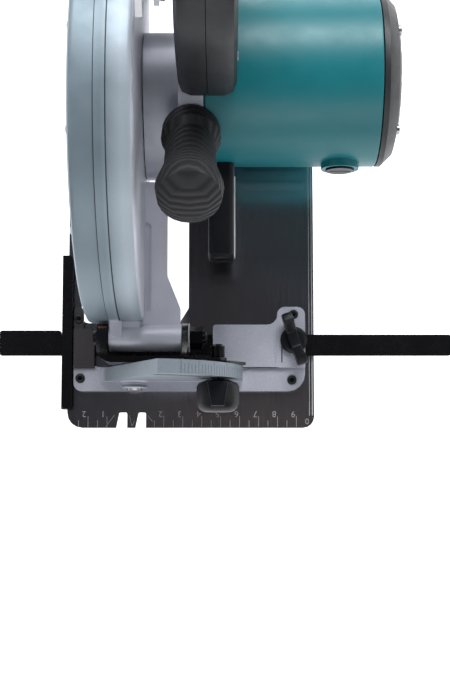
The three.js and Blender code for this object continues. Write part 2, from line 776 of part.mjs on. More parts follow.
// ---- blade and spindle ----
const TOOTH_COUNT = 24;
const toothOutline = Array.from({ length: TOOTH_COUNT }, (_, i) => {
  const start = (i * 360) / TOOTH_COUNT;
  const at = (radius, turn) => arc(ARBOR.y, ARBOR.z, radius, start + turn, start + turn, 1)[0];
  return [at(BLADE_RADIUS, 0), at(93.2, 3.2), at(88.5, 9.5), at(84.5, 12), at(86, 14.2)];
}).flat();
const expansionSlots = [0, 90, 180, 270].map((angle) =>
  box(-2, 2, 74, 90, -0.5, 0.5)
    .add(cylinder("x", 74, 0, 2.2, -2, 2, 12))
    .rotate([angle + 12.5, 0, 0])
    .translate([0, ARBOR.y, ARBOR.z]),
);
add(
  "blade",
  cut(prism("x", toothOutline, -0.9, 0.9), [
    cylinder("x", ARBOR.y, ARBOR.z, 7.94, -2, 2, 24),
    ...expansionSlots,
  ]),
  STEEL,
);
add(
  "spindle",
  lathe(
    "x",
    ARBOR.y,
    ARBOR.z,
    [[15, 0], [15, 4.3], [-1, 4.3], [-1, 7.6], [5.4, 7.6], [5.4, 6], [31, 6], [31, 4.7], [39, 4.7], [39, 0]],
    20,
  ),
  STEEL,
);
add("inner_flange", tube("x", ARBOR.y, ARBOR.z, 16, 7.94, 1.3, 5, 28), STEEL);
add("outer_flange", tube("x", ARBOR.y, ARBOR.z, 16, 4.3, -4.6, -1.3, 28), STEEL);
add(
  "blade_bolt",
  cylinder("x", ARBOR.y, ARBOR.z, 7.5, -9.8, -4.9, 6).add(
    cylinder("x", ARBOR.y, ARBOR.z, 4, -5.5, 13, 12),
  ),
  STEEL,
);

// Straight-sided gear teeth with ample backlash; `phase` turns the wheel, degrees.
function gearOutline(centre, teeth, phase) {
  const pitch = (teeth * GEAR.module) / 2;
  const step = 360 / teeth;
  return Array.from({ length: teeth }, (_, i) => {
    const at = (radius, turn) => {
      const angle = phase + (i + turn) * step;
      return arc(centre.y, centre.z, radius, angle, angle, 1)[0];
    };
    const root = pitch - 1.3 * GEAR.module;
    const tip = pitch + 0.85 * GEAR.module;
    return [at(root, -0.24), at(tip, -0.06), at(tip, 0.06), at(root, 0.24)];
  }).flat();
}
const meshAngle = THREE.MathUtils.radToDeg(Math.atan2(MOTOR.z - ARBOR.z, MOTOR.y - ARBOR.y));
add(
  "output_gear",
  prism("x", gearOutline(ARBOR, GEAR.teeth, meshAngle), 19, 29).subtract(
    cylinder("x", ARBOR.y, ARBOR.z, 6.3, 10, 40, 20),
  ),
  STEEL,
);

// ---- armature ----
add(
  "armature_shaft",
  prism("x", gearOutline(MOTOR, GEAR.pinion, meshAngle + 180 + 180 / GEAR.pinion), 18.5, 29.6).add(
    lathe("x", MOTOR.y, MOTOR.z, [[29, 0], [29, 4], [132.4, 4], [132.4, 0]], 16),
  ),
  STEEL,
);
const coreOutline = Array.from({ length: 12 }, (_, i) => {
  const at = (radius, turn) => arc(MOTOR.y, MOTOR.z, radius, i * 30 + turn, i * 30 + turn, 1)[0];
  return [at(23.5, 3), at(23.5, 15), at(23.5, 27), at(20, 28), at(20, 32)];
}).flat();
add(
  "armature_core",
  prism("x", coreOutline, 60, 97)
    .add(cylinder("x", MOTOR.y, MOTOR.z, 19, 55, 102, 24, 2))
    .subtract(cylinder("x", MOTOR.y, MOTOR.z, 4.3, 40, 120, 16)),
  COPPER,
);
add("commutator", tube("x", MOTOR.y, MOTOR.z, 12, 4.3, 104.5, 115.5, 24), COPPER);
const fanBlades = Array.from({ length: 10 }, (_, i) =>
  box(45, 53, -0.8, 0.8, 13, 36).rotate([i * 36, 0, 0]).translate([0, MOTOR.y, MOTOR.z]),
);
add(
  "cooling_fan",
  join([
    cylinder("x", MOTOR.y, MOTOR.z, 36, 43.5, 45.3, 32),
    cylinder("x", MOTOR.y, MOTOR.z, 14, 43.5, 53, 24),
    ...fanBlades,
  ]).subtract(cylinder("x", MOTOR.y, MOTOR.z, 4.3, 40, 60, 16)),
  BLACK_PLASTIC,
);
add(
  "shaft_lock",
  cylinder("y", 36.5, 34, 2.5, 74, 84, 12).add(cylinder("y", 36.5, 34, 5, 72, 76, 16)),
  BLACK_PLASTIC,
);

export default group;
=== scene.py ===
"""Hand-held circular saw at full depth, seen from above its front: looks, small details, light and camera."""
import json
import math
import bmesh
import bpy
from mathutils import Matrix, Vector


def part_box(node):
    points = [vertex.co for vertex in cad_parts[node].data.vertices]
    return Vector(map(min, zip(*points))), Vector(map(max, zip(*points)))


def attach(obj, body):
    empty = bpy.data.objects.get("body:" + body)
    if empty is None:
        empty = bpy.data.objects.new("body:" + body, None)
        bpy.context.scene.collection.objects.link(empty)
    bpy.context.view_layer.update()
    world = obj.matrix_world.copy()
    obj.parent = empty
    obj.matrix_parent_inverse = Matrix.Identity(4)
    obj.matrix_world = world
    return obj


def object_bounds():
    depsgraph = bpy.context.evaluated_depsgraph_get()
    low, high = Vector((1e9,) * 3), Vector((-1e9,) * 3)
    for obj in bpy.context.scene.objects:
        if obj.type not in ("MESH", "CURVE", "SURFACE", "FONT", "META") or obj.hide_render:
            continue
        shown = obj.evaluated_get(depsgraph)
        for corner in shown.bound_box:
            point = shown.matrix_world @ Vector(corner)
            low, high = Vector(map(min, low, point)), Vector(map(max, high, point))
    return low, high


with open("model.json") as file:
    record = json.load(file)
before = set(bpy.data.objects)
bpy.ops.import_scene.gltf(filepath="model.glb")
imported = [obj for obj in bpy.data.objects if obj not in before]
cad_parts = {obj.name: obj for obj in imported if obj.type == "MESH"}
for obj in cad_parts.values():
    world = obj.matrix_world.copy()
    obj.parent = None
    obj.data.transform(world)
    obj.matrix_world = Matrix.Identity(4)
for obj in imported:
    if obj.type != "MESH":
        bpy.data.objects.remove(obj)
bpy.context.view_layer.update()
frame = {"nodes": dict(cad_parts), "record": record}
nodes = frame["nodes"]
scene = bpy.context.scene
MM = 0.001


# ---- material helpers ----
class Graph:
    """A material's node tree with its principled shader."""

    def __init__(self, name):
        self.material = bpy.data.materials.new(name)
        self.material.use_nodes = True
        self.tree = self.material.node_tree
        self.shader = self.tree.nodes["Principled BSDF"]
        self.place = self.node("ShaderNodeTexCoord").outputs["Object"]

    def node(self, kind, **settings):
        made = self.tree.nodes.new(kind)
        for key, value in settings.items():
            setattr(made, key, value)
        return made

    def link(self, source, target):
        self.tree.links.new(source, target)

    def stretched(self, scale):
        mapping = self.node("ShaderNodeMapping")
        mapping.inputs["Scale"].default_value = scale
        self.link(self.place, mapping.inputs["Vector"])
        return mapping.outputs["Vector"]

    def noise(self, scale, detail=4.0, roughness=0.6, stretch=None):
        made = self.node("ShaderNodeTexNoise")
        made.inputs["Scale"].default_value = scale
        made.inputs["Detail"].default_value = detail
        made.inputs["Roughness"].default_value = roughness
        self.link(self.stretched(stretch) if stretch else self.place, made.inputs["Vector"])
        return made.outputs["Fac"]

    def remap(self, value, low, high, start=0.3, end=0.7):
        made = self.node("ShaderNodeMapRange")
        for name, number in (("From Min", start), ("From Max", end), ("To Min", low), ("To Max", high)):
            made.inputs[name].default_value = number
        self.link(value, made.inputs["Value"])
        return made.outputs["Result"]

    def mix(self, factor, first, second):
        made = self.node("ShaderNodeMix", data_type="RGBA")
        self.link(factor, made.inputs[0])
        for index, colour in ((6, first), (7, second)):
            if isinstance(colour, tuple):
                made.inputs[index].default_value = (*colour, 1.0)
            else:
                self.link(colour, made.inputs[index])
        return made.outputs[2]

    def bump(self, height, strength, distance, below=None):
        made = self.node("ShaderNodeBump")
        made.inputs["Strength"].default_value = strength
        made.inputs["Distance"].default_value = distance
        self.link(height, made.inputs["Height"])
        if below is not None:
            self.link(below, made.inputs["Normal"])
        return made.outputs["Normal"]

    def combine(self, first, second, operation="ADD"):
        """Two numbers joined by a math operation."""
        made = self.node("ShaderNodeMath", operation=operation)
        self.link(first, made.inputs[0])
        self.link(second, made.inputs[1])
        return made.outputs[0]

    def along(self, axis, start, end):
        """0 to 1 between two places, mm, along axis 0, 1 or 2."""
        split = self.node("ShaderNodeSeparateXYZ")
        self.link(self.place, split.inputs[0])
        return self.remap(split.outputs[axis], 0.0, 1.0, start * MM, end * MM)


def srgb(r, g, b):
    """Screen colour, 0 to 255, as linear."""

    def channel(c):
        c /= 255
        return c / 12.92 if c <= 0.04045 else ((c + 0.055) / 1.055) ** 2.4

    return tuple(channel(c) for c in (r, g, b))


def darker(colour, share):
    """A constant colour at a share of its brightness."""
    return tuple(c * share for c in colour)


def finish_material(
    graph, colour, roughness, metallic, grain, grain_depth, coat=0.0, spread=0.2, speckle=0.06, stretch=None,
    shine=0.5,
):
    """Colour drift, uneven roughness with rubbed patches, and a fine surface grain."""
    drift = graph.remap(graph.noise(38.0), 0.0, 1.0)
    body = graph.mix(drift, darker(colour, 1.0 - spread), colour)
    specks = graph.remap(graph.noise(grain, 3.0, 0.7, stretch), 0.0, 1.0, 0.35, 0.65)
    body = graph.mix(specks, darker_node(graph, body, 1.0 - speckle), body)
    graph.link(body, graph.shader.inputs["Base Color"])
    smear = graph.combine(
        graph.remap(graph.noise(90.0, 5.0, 0.65, stretch), roughness * 0.85, roughness * 1.12),
        graph.remap(graph.noise(900.0, 2.0), -0.03, 0.03),
    )
    graph.link(smear, graph.shader.inputs["Roughness"])
    graph.shader.inputs["Metallic"].default_value = metallic
    graph.shader.inputs["Coat Weight"].default_value = coat
    graph.shader.inputs["Coat Roughness"].default_value = 0.12
    graph.shader.inputs["Specular IOR Level"].default_value = shine
    fine = graph.noise(grain, 4.0, 0.7, stretch)
    graph.link(graph.bump(fine, 0.35, grain_depth), graph.shader.inputs["Normal"])
    return graph.material


def darker_node(graph, colour, share):
    """A linked colour at a share of its brightness."""
    made = graph.node("ShaderNodeMix", data_type="RGBA", blend_type="MULTIPLY")
    made.inputs[0].default_value = 1.0
    graph.link(colour, made.inputs[6])
    made.inputs[7].default_value = (share, share, share, 1.0)
    return made.outputs[2]


def surface(name, colour, roughness, metallic, grain, grain_depth, **more):
    """An all-over material with a grain of that scale and depth in metres."""
    return finish_material(Graph(name), colour, roughness, metallic, grain, grain_depth, **more)


# Where colour zones begin and end, mm along X, Y or Z: edges of the paint, and places of painted highlight,
# painted shade and painted reflection.
X, Y, Z = 0, 1, 2
BARE_ARM = (X, 10.2, 10.8)
BARE_BARREL = (Y, 8.2, 7.6)
# Painted highlight: the case's enamel lightens towards the motor side, where the light falls.
CASE_SIDE_PAINTED_HIGHLIGHT = (X, -3.0, 6.0)
# Painted shade: the bracket's inner bridge darkens under the guard, left of the yoke and behind the flange.
PAINTED_SHADE_LEFT = (X, -15.0, -16.2)
PAINTED_SHADE_BEHIND = (Y, -13.6, -12.6)
# Painted shade: the casting darkens above its foot, over the raised quadrant.
QUADRANT_PAINTED_SHADE = (Z, 8.8, 13.0)
# Painted reflections on the sole: warm towards the front right, teal towards the motor-side rear corner.
WARM_REFLECTION_FRONT = (Y, -8.0, -40.0)
WARM_REFLECTION_RIGHT = (X, -25.0, 40.0)
TEAL_REFLECTION_RIGHT = (X, 45.0, 95.0)
TEAL_REFLECTION_REAR = (Y, 10.0, 60.0)


def case_material():
    """Enamelled case whose arm and hinge barrel are left as cast, with painted highlight towards the motor
    side.
    """
    graph = Graph("case_enamel")
    bare = graph.combine(graph.along(*BARE_ARM), graph.along(*BARE_BARREL), "MAXIMUM")
    drift = graph.remap(graph.noise(30.0), 0.0, 1.0)
    enamel = graph.mix(drift, srgb(118, 133, 142), srgb(128, 144, 153))
    # Painted highlight: lighter enamel towards the motor side.
    enamel = graph.mix(graph.along(*CASE_SIDE_PAINTED_HIGHLIGHT), enamel, srgb(172, 184, 193))
    alloy = graph.mix(drift, srgb(206, 208, 219), srgb(220, 222, 233))
    body = graph.mix(bare, enamel, alloy)
    specks = graph.remap(graph.noise(1700.0, 3.0, 0.7), 0.0, 1.0, 0.35, 0.65)
    graph.link(graph.mix(specks, darker_node(graph, body, 0.93), body), graph.shader.inputs["Base Color"])
    graph.link(graph.remap(graph.noise(120.0, 4.0), 0.4, 0.52), graph.shader.inputs["Roughness"])
    graph.shader.inputs["Metallic"].default_value = 0.3
    graph.link(graph.bump(graph.noise(1600.0, 4.0, 0.7), 0.35, 0.00008), graph.shader.inputs["Normal"])
    return graph.material


def bracket_material():
    """Sand-blasted casting with painted shade darkening its inner bridge under the guard."""
    graph = Graph("bracket_casting")
    # Painted shade: mask for the dark bridge under the guard.
    painted_shade_mask = graph.combine(graph.along(*PAINTED_SHADE_LEFT), graph.along(*PAINTED_SHADE_BEHIND), "MULTIPLY")
    drift = graph.remap(graph.noise(42.0), 0.0, 1.0)
    alloy = graph.mix(drift, srgb(190, 192, 204), srgb(206, 208, 220))
    # Painted shade on the raised quadrant.
    alloy = graph.mix(graph.along(*QUADRANT_PAINTED_SHADE), alloy, srgb(138, 148, 157))
    body = graph.mix(painted_shade_mask, alloy, srgb(66, 62, 64))
    specks = graph.remap(graph.noise(1300.0, 3.0, 0.7), 0.0, 1.0, 0.35, 0.65)
    graph.link(graph.mix(specks, darker_node(graph, body, 0.84), body), graph.shader.inputs["Base Color"])
    graph.link(graph.remap(graph.noise(110.0, 4.0), 0.44, 0.56), graph.shader.inputs["Roughness"])
    graph.shader.inputs["Metallic"].default_value = 0.35
    graph.link(graph.bump(graph.noise(1400.0, 4.0, 0.7), 0.4, 0.00012), graph.shader.inputs["Normal"])
    return graph.material


def sole_material():
    """Bright rolled steel sheet: near-mirror, brushed along its length, with rubbed scratches and painted
    reflections.
    """
    graph = Graph("sole_sheet")
    brushed = graph.noise(60.0, 6.0, 0.7, (40.0, 1.0, 1.0))
    drift = graph.remap(graph.noise(14.0, 2.0), 0.0, 1.0)
    warm = graph.mix(drift, srgb(166, 158, 162), srgb(176, 180, 190))
    # Painted reflection: a warm brightening towards the sole's front right.
    front = graph.combine(graph.along(*WARM_REFLECTION_FRONT), graph.along(*WARM_REFLECTION_RIGHT), "MULTIPLY")
    warm = graph.mix(front, warm, srgb(226, 214, 214))
    # Painted reflection: a teal tint towards the motor-side rear, where the motor is mirrored in the sheet.
    corner = graph.combine(graph.along(*TEAL_REFLECTION_RIGHT), graph.along(*TEAL_REFLECTION_REAR), "MULTIPLY")
    warm = graph.mix(corner, warm, srgb(172, 192, 200))
    lines = graph.remap(brushed, 0.0, 1.0, 0.35, 0.65)
    graph.link(graph.mix(lines, darker_node(graph, warm, 0.93), warm), graph.shader.inputs["Base Color"])
    graph.shader.inputs["Metallic"].default_value = 1.0
    graph.link(graph.remap(brushed, 0.14, 0.24), graph.shader.inputs["Roughness"])
    wave = graph.bump(graph.noise(18.0, 1.0), 0.25, 0.0006)
    graph.link(graph.bump(brushed, 0.12, 0.00002, wave), graph.shader.inputs["Normal"])
    return graph.material


def blade_material():
    """Saw plate: grinding rings round the arbor."""
    graph = Graph("saw_plate")
    low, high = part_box("blade")
    centre = (low + high) / 2
    offset = graph.node("ShaderNodeVectorMath", operation="SUBTRACT")
    offset.inputs[1].default_value = centre
    graph.link(graph.place, offset.inputs[0])
    length = graph.node("ShaderNodeVectorMath", operation="LENGTH")
    graph.link(offset.outputs[0], length.inputs[0])
    rings = graph.node("ShaderNodeTexNoise", noise_dimensions="1D")
    rings.inputs["Scale"].default_value = 1800.0
    rings.inputs["Detail"].default_value = 4.0
    graph.link(length.outputs["Value"], rings.inputs["W"])
    shade = graph.mix(rings.outputs["Fac"], srgb(150, 152, 156), srgb(196, 198, 202))
    graph.link(shade, graph.shader.inputs["Base Color"])
    graph.shader.inputs["Metallic"].default_value = 1.0
    graph.link(graph.remap(rings.outputs["Fac"], 0.22, 0.36), graph.shader.inputs["Roughness"])
    graph.link(graph.bump(rings.outputs["Fac"], 0.3, 0.00003), graph.shader.inputs["Normal"])
    return graph.material


def ribbed_rubber():
    """Moulded soft grip: fine ribs across the hand, rubbed smoother on their crests."""
    graph = Graph("ribbed_rubber")
    wave = graph.node("ShaderNodeTexWave", wave_type="BANDS", bands_direction="Z", wave_profile="SIN")
    wave.inputs["Scale"].default_value = 115.0
    wave.inputs["Distortion"].default_value = 0.0
    graph.link(graph.place, wave.inputs["Vector"])
    crest = wave.outputs["Fac"]
    graph.link(graph.mix(crest, srgb(17, 17, 19), srgb(36, 36, 39)), graph.shader.inputs["Base Color"])
    graph.link(graph.remap(crest, 0.8, 0.6, 0.0, 1.0), graph.shader.inputs["Roughness"])
    ribs = graph.bump(crest, 0.7, 0.0007)
    graph.link(graph.bump(graph.noise(1600.0), 0.3, 0.00012, ribs), graph.shader.inputs["Normal"])
    return graph.material


def lens_material():
    """Smoked prism lens over an unlit lamp."""
    graph = Graph("lamp_lens")
    graph.shader.inputs["Base Color"].default_value = (0.16, 0.17, 0.19, 1.0)
    graph.shader.inputs["Transmission Weight"].default_value = 0.7
    graph.shader.inputs["IOR"].default_value = 1.49
    facets = graph.node("ShaderNodeTexVoronoi")
    facets.inputs["Scale"].default_value = 900.0
    graph.link(graph.place, facets.inputs["Vector"])
    graph.link(graph.remap(facets.outputs["Distance"], 0.05, 0.2, 0.0, 1.0), graph.shader.inputs["Roughness"])
    graph.link(graph.bump(facets.outputs["Distance"], 0.4, 0.0002), graph.shader.inputs["Normal"])
    return graph.material


LOOKS = {
    "sole_steel": sole_material(),
    "cast_aluminium": surface("cast_alloy", srgb(184, 187, 197), 0.48, 0.4, 1500.0, 0.00012, spread=0.12),
    "guard_paint": case_material(),
    "zinc_steel": surface("zinc_plate", srgb(182, 184, 188), 0.32, 1.0, 1600.0, 0.00003, spread=0.22),
    "guard_steel": surface(
        "guard_sheet", srgb(168, 172, 178), 0.34, 1.0, 600.0, 0.00003, stretch=(12.0, 1.0, 1.0)
    ),
    "blade_steel": blade_material(),
    "yoke_paint": surface("black_enamel", srgb(14, 14, 16), 0.26, 0.0, 1700.0, 0.00002, coat=0.2, shine=0.35),
    "knob_plastic": surface("knob_nylon", srgb(20, 21, 26), 0.4, 0.0, 2600.0, 0.00004, shine=0.25),
    "housing_plastic": surface("housing_nylon", srgb(12, 116, 124), 0.42, 0.0, 2200.0, 0.00006, spread=0.1),
    "handle_plastic": surface("handle_nylon", srgb(36, 37, 41), 0.5, 0.0, 1900.0, 0.00014),
    "grip_rubber": ribbed_rubber(),
    "lens": lens_material(),
    "copper": surface("winding_enamel", srgb(176, 98, 58), 0.34, 0.9, 1400.0, 0.00012),
    "laminations": surface(
        "lamination_stack", srgb(120, 122, 128), 0.42, 0.9, 900.0, 0.00008, stretch=(14.0, 1.0, 1.0)
    ),
    "carbon": surface("pressed_carbon", srgb(44, 44, 47), 0.6, 0.2, 1500.0, 0.0001),
}
BLACK_OXIDE = surface("black_oxide", srgb(34, 35, 38), 0.3, 0.9, 1600.0, 0.00003)
COPPER_BUSH = surface("copper_bush", srgb(150, 104, 80), 0.4, 0.8, 1500.0, 0.00003)
ENGRAVING = surface("engraved_line", srgb(160, 160, 166), 0.6, 0.1, 2500.0, 0.00003)
RIM_LINE = surface("rim_line", srgb(98, 106, 114), 0.6, 0.1, 2000.0, 0.00003)
# Painted shade in joints and screw sockets, and dark printed marks on the depth arc.
DARK_SHADE_AND_PRINT = surface("painted_shade_and_print", srgb(20, 21, 24), 0.6, 0.1, 2000.0, 0.00005)
# Pale finish of the washer, and painted highlights along the sole's edge and the lamp housing.
PALE_PART_AND_PAINTED_HIGHLIGHT = surface("pale_part_and_painted_highlight", srgb(205, 206, 210), 0.4, 0.1, 2000.0, 0.00004)
SEAM = surface("enamel_joint", srgb(58, 66, 72), 0.6, 0.1, 2000.0, 0.00003)
CARBIDE = surface("carbide_tip", srgb(120, 122, 126), 0.25, 1.0, 2000.0, 0.00003)

for entry in frame["record"]["subparts"]:
    body = nodes[entry["node"]]
    body.data.materials.clear()
    body.data.materials.append(LOOKS[entry["material_slot"]])
BRACKET_SCREWS = [f"bracket_screw_{i}" for i in range(1, 5)]
nodes["front_bracket"].data.materials[0] = bracket_material()
nodes["front_grip"].data.materials[0] = LOOKS["grip_rubber"]
for name in ("depth_pivot_nut", "bevel_stud", "depth_pivot_bolt", *BRACKET_SCREWS):
    nodes[name].data.materials[0] = BLACK_OXIDE

# ---- smooth shading on the carried-over solids ----
# Their triangles arrive unjoined. Modifiers join them for shading, which leaves the meshes as they are.
SAME_POINT = 0.002 * MM
SHARP_EDGE = math.radians(32)
for body in nodes.values():
    body.data.shade_smooth()
    joined = body.modifiers.new("joined_faces", "WELD")
    joined.merge_threshold = SAME_POINT
    parted = body.modifiers.new("sharp_edges", "EDGE_SPLIT")
    parted.split_angle = SHARP_EDGE
    body.modifiers.new("even_normals", "WEIGHTED_NORMAL")


# ---- piece builders ----
NEW_PIECE_SHARP_EDGE = math.radians(38)


def piece(name, mesh_maker, material, body, bevel=0.0):
    """A new mesh object from a function that fills a bmesh, riding on a CAD body."""
    data = bpy.data.meshes.new(name)
    work = bmesh.new()
    mesh_maker(work)
    bmesh.ops.recalc_face_normals(work, faces=work.faces)
    work.to_mesh(data)
    work.free()
    made = bpy.data.objects.new(name, data)
    scene.collection.objects.link(made)
    data.materials.append(material)
    data.shade_smooth()
    data.set_sharp_from_angle(angle=NEW_PIECE_SHARP_EDGE)
    if bevel:
        edge = made.modifiers.new("broken_edge", "BEVEL")
        edge.width = bevel * MM
        edge.segments = 2
        edge.limit_method = "ANGLE"
        edge.harden_normals = True
    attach(made, body)


def prism(work, outline, axis, low, high):
    """Outline of (a, b) mm pushed from low to high mm along an axis."""
    place = {
        "x": lambda a, b, c: (c, a, b),
        "y": lambda a, b, c: (a, c, b),
        "z": lambda a, b, c: (a, b, c),
    }[axis]
    rings = [[work.verts.new(Vector(place(a, b, c)) * MM) for a, b in outline] for c in (low, high)]
    work.faces.new(rings[0])
    work.faces.new(rings[1])
    for i in range(len(outline)):
        j = (i + 1) % len(outline)
        work.faces.new((rings[0][i], rings[0][j], rings[1][j], rings[1][i]))


def turned(work, profile, centre, axis, steps=32):
    """Profile of (along, radius) mm spun round an axis through centre, mm."""
    axis = Vector(axis).normalized()
    side = axis.orthogonal().normalized()
    other = axis.cross(side)
    rings = []
    for along, radius in profile:
        middle = Vector(centre) + axis * along
        if radius == 0:
            rings.append([work.verts.new(middle * MM)])
            continue
        ring = []
        for i in range(steps):
            angle = 2 * math.pi * i / steps
            outward = side * math.cos(angle) + other * math.sin(angle)
            ring.append(work.verts.new((middle + outward * radius) * MM))
        rings.append(ring)
    for first, second in zip(rings, rings[1:]):
        for i in range(steps):
            j = (i + 1) % steps
            corners = [
                first[i % len(first)], first[j % len(first)],
                second[j % len(second)], second[i % len(second)],
            ]
            corners = list(dict.fromkeys(corners))
            if len(corners) > 2:
                work.faces.new(corners)


def socket_profile(radius, height):
    """Cap screw head: rounded rim and a recess."""
    return [
        (0, 0), (0, radius), (height - 0.4, radius), (height, radius - 0.4), (height, radius * 0.55),
        (height - 1.0, radius * 0.5), (height - 1.0, 0),
    ]


def rectangle(x0, x1, y0, y1):
    return [(x0, y0), (x1, y0), (x1, y1), (x0, y1)]


def point_on(centre, radius, angle):
    """A place on a circle, at an angle in degrees."""
    turn = math.radians(angle)
    return centre[0] + radius * math.cos(turn), centre[1] + radius * math.sin(turn)


# ---- frame facts, mm ----
def mm_box(node):
    """Lowest and highest corner of a CAD node."""
    low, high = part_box(node)
    return [v / MM for v in low], [v / MM for v in high]


def mm_middle(node, *axes):
    """Middle of a CAD node's box along the axes asked for."""
    low, high = mm_box(node)
    return tuple((low[axis] + high[axis]) / 2 for axis in axes)


BEVEL_AXIS = mm_middle("front_bevel_pin", X, Z)
STUD = mm_middle("bevel_stud", X, Z)
MOTOR_AXIS = mm_middle("motor_end_cover", Y, Z)
ARBOR_AXIS = mm_middle("blade", Y, Z)
DEPTH_AXIS = (0, 32)
QUADRANT_RADIUS = 57.5
CASE_OUTER_FACE = mm_box("blade_case")[0][X]
FRONT = mm_box("base_plate")[0][Y]
RIGHT, TOP = mm_box("base_plate")[1][X], mm_box("base_plate")[1][Z]
INK = (TOP - 0.02, TOP + 0.03)


# ---- sole scale: centimetre numbers, five-millimetre lines, sight marks ----
LINE_HALF = 0.14
SIGHT_MARKS = ((-10.6, 0.8, -6.0, 6.8), (1.8, 6.6, 3.2, 0.8), (3.2, 0.8, 4.6, 3.6), (11.6, 6.4, 14.2, 3.2))


def scale_lines(work):
    """A line every 5 mm but for the notches, longer on each centimetre, and slanting marks at the notches."""
    for tick in range(-5, 19):
        x = tick * 5.0
        if -6 < x < 12:
            continue
        reach = 6.2 if tick % 2 == 0 else 4.0
        prism(work, rectangle(x - LINE_HALF, x + LINE_HALF, FRONT + 0.5, FRONT + reach), "z", *INK)
    for x0, y0, x1, y1 in SIGHT_MARKS:
        across = Vector((y0 - y1, x1 - x0, 0)).normalized() * LINE_HALF
        a, b = Vector((x0, FRONT + y0, 0)), Vector((x1, FRONT + y1, 0))
        prism(work, [tuple(p.xy) for p in (a + across, a - across, b - across, b + across)], "z", *INK)


piece("scale_lines", scale_lines, ENGRAVING, "base")


def number(text, x, y, size):
    """An engraved numeral, turned to be read from behind the saw."""
    data = bpy.data.curves.new(f"numeral_{text}_{round(x)}", "FONT")
    data.body = text
    data.size = size * MM
    data.extrude = 0.00002
    data.align_x, data.align_y = "CENTER", "CENTER"
    made = bpy.data.objects.new(f"scale_number_{'left' if x < 0 else 'right'}_{text}", data)
    made.location = Vector((x, y, TOP + 0.02)) * MM
    made.rotation_euler = (0, 0, math.pi)
    scene.collection.objects.link(made)
    data.materials.append(ENGRAVING)
    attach(made, "base")


for value in range(2, 10):
    number(str(value), value * 10 - 1.7, FRONT + 7.4, 4.6)
for value in (1, 2):
    number(str(value), -value * 10 - 2.1, FRONT + 7.4, 4.6)
number("0", 95.6, FRONT + 3.6, 4.2)


# ---- quadrant graduation and casting grooves ----
def graduation(work):
    """Lines across the quadrant's rim, every 2 degrees."""
    for step in range(26):
        angle = 13 + step * 2.0
        reach = 6.4 if step % 5 == 0 else 4.8
        outer = [point_on(BEVEL_AXIS, QUADRANT_RADIUS + 0.03, angle + side) for side in (-0.15, 0.15)]
        inner = [point_on(BEVEL_AXIS, QUADRANT_RADIUS - 0.4, angle + side) for side in (0.15, -0.15)]
        prism(work, outer + inner, "y", -20.2, -20.2 + reach)


piece("quadrant_graduation", graduation, RIM_LINE, "base")


def casting_ridges(work):
    """Two low ridges at each end of the casting's front flange."""
    for y0, y1 in ((-14.6, -13.6), (-12.9, -12.2)):
        for x0, x1 in ((62.5, 93.0), (-26.5, -15.0)):
            prism(work, rectangle(x0, x1, y0, y1), "z", 5.9, 6.25)


piece("casting_ridges", casting_ridges, LOOKS["cast_aluminium"], "base", bevel=0.12)


def casting_grooves(work):
    """Joint line round the raised pad and along the flange's step, darkened as painted shade."""
    for x0, x1, y0, y1, z in (
        (81.9, 82.5, -10.5, 3.5, 8.35), (53.5, 80.6, -13.3, -12.85, 7.7), (-27.0, -16.5, -13.25, -12.8, 7.55),
    ):
        prism(work, rectangle(x0, x1, y0, y1), "z", z, z + 0.12)


piece("casting_grooves", casting_grooves, DARK_SHADE_AND_PRINT, "base")


def case_seams(work):
    """Joint lines on both sides of the case's raised band."""
    for x0, x1 in ((-6.5, -6.0), (-1.0, -0.5)):
        outer = [point_on(ARBOR_AXIS, 101.12, 22 + i * 3) for i in range(53)]
        inner = [point_on(ARBOR_AXIS, 100.6, 22 + i * 3) for i in reversed(range(53))]
        prism(work, outer + inner, "x", x0, x1)


piece("case_seams", case_seams, SEAM, "saw")


def sole_edge(work):
    """Painted highlight: two bright lines along the motor-side edge of the sole."""
    for offset, width in ((0.7, 0.5), (2.3, 0.3)):
        outer = RIGHT - offset
        prism(work, rectangle(outer - width, outer, -38, 232), "z", TOP - 0.02, TOP + 0.04)


piece("sole_edge_line", sole_edge, PALE_PART_AND_PAINTED_HIGHLIGHT, "base")


def case_face(work):
    """Stiffening rings and spokes pressed into the case's outer face."""
    height = (CASE_OUTER_FACE - 0.7, CASE_OUTER_FACE + 0.1)
    for inner, outer, start, end in ((29.5, 32.5, -49, 229), (84.0, 86.5, 4, 176)):
        turns = [start + (end - start) * i / 60 for i in range(61)]
        rim = [point_on(ARBOR_AXIS, outer, turn) for turn in turns]
        rim += [point_on(ARBOR_AXIS, inner, turn) for turn in reversed(turns)]
        prism(work, rim, "x", *height)
    for angle in (30, 60, 90, 120, 150):
        along = Vector(point_on((0, 0), 1, angle))
        across = Vector((-along.y, along.x)) * 1.1
        centre = Vector(ARBOR_AXIS)
        near, far = centre + along * 38, centre + along * 80
        ends = [near - across, far - across, far + across, near + across]
        prism(work, [tuple(p) for p in ends], "x", *height)


piece("case_face_ribs", case_face, LOOKS["guard_paint"], "saw", bevel=0.25)


def case_rivets(work):
    """Domed rivets round the case's outer face."""
    dome = ((-1.3, 0), (-1.2, 1.0), (-0.9, 1.8), (-0.2, 2.5), (0.1, 2.6), (0.1, 0))
    profile = [(CASE_OUTER_FACE + along, radius) for along, radius in dome]
    for angle in (14, 45, 75, 105, 135, 166):
        turned(work, profile, (0, *point_on(ARBOR_AXIS, 92.5, angle)), (1, 0, 0), 20)


piece("case_rivets", case_rivets, LOOKS["zinc_steel"], "saw")


def hinge_rib(work):
    """The case's raised band, run out over the hinge barrel and brought to a point."""
    outline = [(-5.6, 8.6), (-5.6, 1.6), (-4.6, 0.2), (-0.2, -1.4), (0.2, 0.6), (0.2, 8.6)]
    prism(work, outline, "z", 38.0, 39.5)


